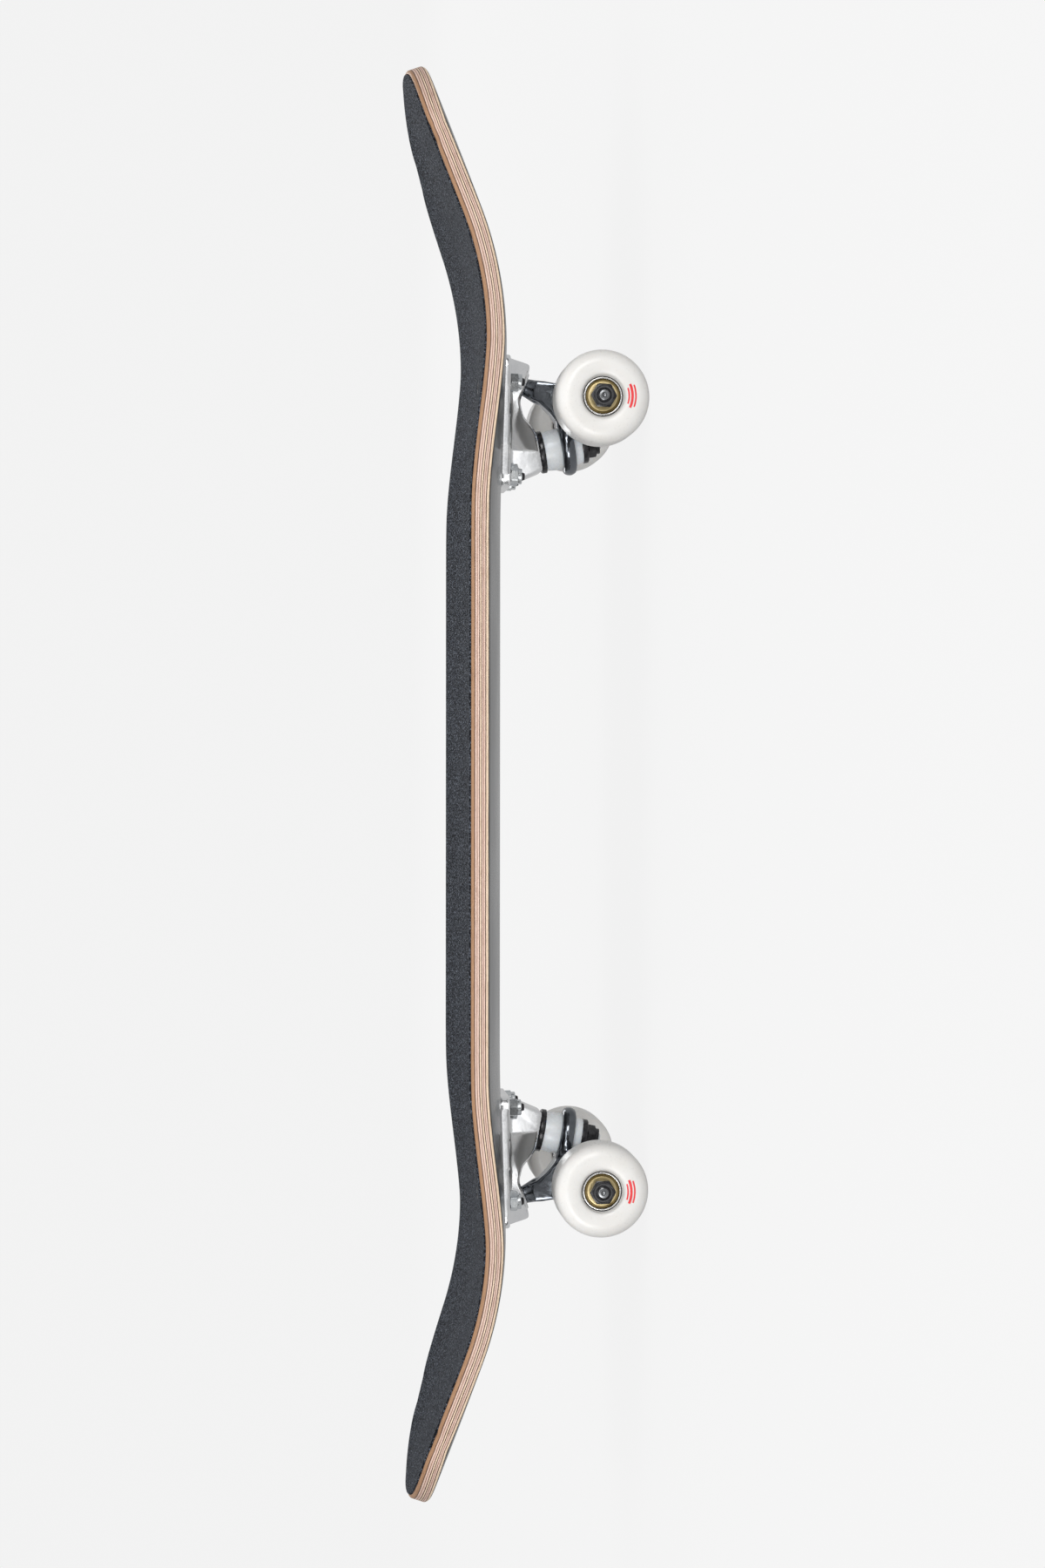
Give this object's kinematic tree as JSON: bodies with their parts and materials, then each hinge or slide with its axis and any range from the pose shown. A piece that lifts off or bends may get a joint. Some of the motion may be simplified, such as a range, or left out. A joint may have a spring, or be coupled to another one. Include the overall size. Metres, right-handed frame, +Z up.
{
  "type": "skateboard",
  "caption": "Street skateboard: concave plywood deck with kicked nose and tail, grip tape, steering trucks and free-rolling wheels.",
  "frame": {"origin": "middle of the board's footprint, on the ground the wheels stand on", "axes": "+X along the board towards the nose, +Y to the rider's left, +Z up from the ground through the deck"},
  "size_m": [0.8256, 0.2096, 0.1312],
  "materials": {
    "maple_ply": "seven-ply maple with a clear satin edge and a dark gloss underside",
    "grip_tape": "coarse silicon-carbide grit, matte",
    "cast_aluminium": "polished casting",
    "zinc_steel": "bright zinc plating",
    "black_steel": "black oxide, satin",
    "bearing_steel": "ground steel races with gold-toned shields",
    "wheel_urethane": "white cast urethane, satin gloss",
    "bushing_urethane": "milky translucent urethane",
    "cup_urethane": "soft white urethane"
  },
  "bodies": {
    "board": {"deck": "maple_ply", "front_baseplate": "cast_aluminium", "front_board_bushing": "bushing_urethane", "front_board_cup_washer": "black_steel", "front_bolt_inner_left": "black_steel", "front_bolt_inner_right": "black_steel", "front_bolt_outer_left": "black_steel", "front_bolt_outer_right": "black_steel", "front_kingpin": "zinc_steel", "front_kingpin_nut": "black_steel", "front_locknut_inner_left": "zinc_steel", "front_locknut_inner_right": "zinc_steel", "front_locknut_outer_left": "zinc_steel", "front_locknut_outer_right": "zinc_steel", "front_pivot_cup": "cup_urethane", "front_road_bushing": "bushing_urethane", "front_road_cup_washer": "black_steel", "grip_tape": "grip_tape", "rear_baseplate": "cast_aluminium", "rear_board_bushing": "bushing_urethane", "rear_board_cup_washer": "black_steel", "rear_bolt_inner_left": "black_steel", "rear_bolt_inner_right": "black_steel", "rear_bolt_outer_left": "black_steel", "rear_bolt_outer_right": "black_steel", "rear_kingpin": "zinc_steel", "rear_kingpin_nut": "black_steel", "rear_locknut_inner_left": "zinc_steel", "rear_locknut_inner_right": "zinc_steel", "rear_locknut_outer_left": "zinc_steel", "rear_locknut_outer_right": "zinc_steel", "rear_pivot_cup": "cup_urethane", "rear_road_bushing": "bushing_urethane", "rear_road_cup_washer": "black_steel"},
    "front_hanger_assembly": {"front_axle": "zinc_steel", "front_hanger": "cast_aluminium", "front_left_axle_nut": "black_steel", "front_left_spacer": "zinc_steel", "front_right_axle_nut": "black_steel", "front_right_spacer": "zinc_steel"},
    "front_left_wheel_assembly": {"front_left_inner_bearing": "bearing_steel", "front_left_outer_bearing": "bearing_steel", "front_left_wheel": "wheel_urethane"},
    "front_right_wheel_assembly": {"front_right_inner_bearing": "bearing_steel", "front_right_outer_bearing": "bearing_steel", "front_right_wheel": "wheel_urethane"},
    "rear_hanger_assembly": {"rear_axle": "zinc_steel", "rear_hanger": "cast_aluminium", "rear_left_axle_nut": "black_steel", "rear_left_spacer": "zinc_steel", "rear_right_axle_nut": "black_steel", "rear_right_spacer": "zinc_steel"},
    "rear_left_wheel_assembly": {"rear_left_inner_bearing": "bearing_steel", "rear_left_outer_bearing": "bearing_steel", "rear_left_wheel": "wheel_urethane"},
    "rear_right_wheel_assembly": {"rear_right_inner_bearing": "bearing_steel", "rear_right_outer_bearing": "bearing_steel", "rear_right_wheel": "wheel_urethane"}
  },
  "joints": [
    {"name": "front_steer", "type": "hinge", "parent": "board", "child": "front_hanger_assembly", "pos_m": [0.19559, 0, 0.03694], "axis": [0.7916, 0, 0.611], "range_deg": [-14, 14], "stiffness_Nm_per_rad": 70, "deforming": ["front_board_bushing", "front_road_bushing"]},
    {"name": "rear_steer", "type": "hinge", "parent": "board", "child": "rear_hanger_assembly", "pos_m": [-0.20239, 0, 0.03694], "axis": [-0.7916, 0, 0.611], "range_deg": [-14, 14], "stiffness_Nm_per_rad": 70, "deforming": ["rear_board_bushing", "rear_road_bushing"]},
    {"name": "front_left_spin", "type": "hinge", "parent": "front_hanger_assembly", "child": "front_left_wheel_assembly", "pos_m": [0.21547, 0.085, 0.026], "axis": [0, 1, 0], "continuous": true},
    {"name": "front_right_spin", "type": "hinge", "parent": "front_hanger_assembly", "child": "front_right_wheel_assembly", "pos_m": [0.21547, -0.085, 0.026], "axis": [0, 1, 0], "continuous": true},
    {"name": "rear_left_spin", "type": "hinge", "parent": "rear_hanger_assembly", "child": "rear_left_wheel_assembly", "pos_m": [-0.22227, 0.085, 0.026], "axis": [0, 1, 0], "continuous": true},
    {"name": "rear_right_spin", "type": "hinge", "parent": "rear_hanger_assembly", "child": "rear_right_wheel_assembly", "pos_m": [-0.22227, -0.085, 0.026], "axis": [0, 1, 0], "continuous": true}
  ]
}
